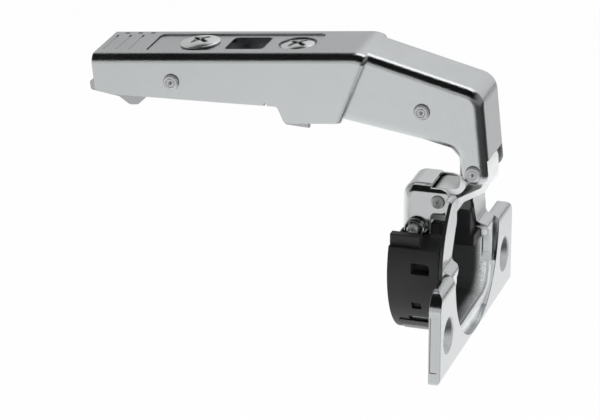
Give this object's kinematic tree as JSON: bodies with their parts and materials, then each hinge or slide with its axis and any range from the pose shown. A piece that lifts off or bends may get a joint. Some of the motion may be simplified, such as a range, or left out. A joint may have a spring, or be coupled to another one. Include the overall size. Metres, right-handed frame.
{
  "type": "concealed cabinet hinge",
  "caption": "Concealed cabinet hinge with a cranked clip-on arm, a round cup with a screw flange, linked pivots and a soft-close damper.",
  "frame": {"origin": "centre of the cup on the door's face, in the plane of the flange's back", "axes": "+X out of the door along the cup's axis, Y along the hinge pins, +Z towards the arm's side of the cup"},
  "size_m": [0.0857, 0.057, 0.0612],
  "materials": {
    "nickel": "nickel-plated pressed steel, satin shine",
    "polished": "polished nickel-plated steel",
    "steel": "plated turned steel",
    "spring_steel": "drawn spring wire",
    "black_plastic": "moulded, fine matt grain",
    "grey_plastic": "moulded, smooth"
  },
  "bodies": {
    "cup": {"hinge_cup": "nickel", "pivot_bracket": "polished", "damper_housing": "black_plastic", "damper_cylinder": "steel", "cup_pin_upper": "steel", "cup_pin_lower": "steel", "closing_springs": "spring_steel"},
    "slider": {"damper_slider": "grey_plastic"},
    "outer": {"outer_link": "nickel"},
    "inner": {"inner_link": "nickel"},
    "arm": {"hinge_arm": "nickel", "arm_pin_outer": "steel", "arm_pin_inner": "steel", "latch_pin": "steel", "latch_spring": "spring_steel"},
    "plate": {"adjust_plate": "nickel"},
    "side_screw": {"side_adjust_screw": "steel"},
    "cam": {"depth_cam_screw": "steel"},
    "clip": {"clip_channel": "nickel"},
    "latch": {"clip_latch": "nickel"}
  },
  "joints": [
    {"name": "door_swing", "type": "hinge", "parent": "cup", "child": "outer", "pos_m": [-0.00919, 0, 0.00645], "axis": [0, 1, 0], "range_deg": [0, 110.94]},
    {"name": "arm_turn", "type": "hinge", "parent": "outer", "child": "arm", "pos_m": [0.00295, 0, 0.0195], "axis": [0, 1, 0], "range_deg": [-16, 0]},
    {"name": "inner_turn", "type": "hinge", "parent": "cup", "child": "inner", "pos_m": [-0.00469, 0, 0.01196], "axis": [0, 1, 0], "range_deg": [0, 138]},
    {"name": "damper_push", "type": "slide", "parent": "cup", "child": "slider", "axis": [-1, 0, 0], "range_m": [0, 0.00225]},
    {"name": "plate_tilt", "type": "hinge", "parent": "arm", "child": "plate", "pos_m": [-0.0608, 0, 0.03291], "axis": [0, 1, 0], "range_deg": [-1.5, 1.5]},
    {"name": "side_screw_turn", "type": "hinge", "parent": "plate", "child": "side_screw", "pos_m": [-0.03626, 0, 0.04052], "axis": [-0.1045, 0, 0.9945], "range_deg": [-360, 360]},
    {"name": "cam_turn", "type": "hinge", "parent": "plate", "child": "cam", "pos_m": [-0.05724, 0, 0.03831], "axis": [-0.1045, 0, 0.9945], "range_deg": [-150, 150]},
    {"name": "depth_slide", "type": "slide", "parent": "plate", "child": "clip", "axis": [0.9945, 0, 0.1045], "range_m": [-0.0025, 0.0025]},
    {"name": "latch_release", "type": "hinge", "parent": "arm", "child": "latch", "pos_m": [-0.0608, 0, 0.03291], "axis": [0, 1, 0], "range_deg": [0, 8], "stiffness_Nm_per_rad": 0.02, "springref_deg": -17.19}
  ],
  "couplings": [
    {"joint": "arm_turn", "follows": "door_swing", "ratio": -0.14368},
    {"joint": "inner_turn", "follows": "door_swing", "ratio": 1.241},
    {"joint": "damper_push", "follows": "door_swing", "m_per_rad": 0.001136},
    {"joint": "side_screw_turn", "follows": "plate_tilt", "ratio": 239.9},
    {"joint": "cam_turn", "follows": "depth_slide", "rad_per_m": 1047}
  ]
}
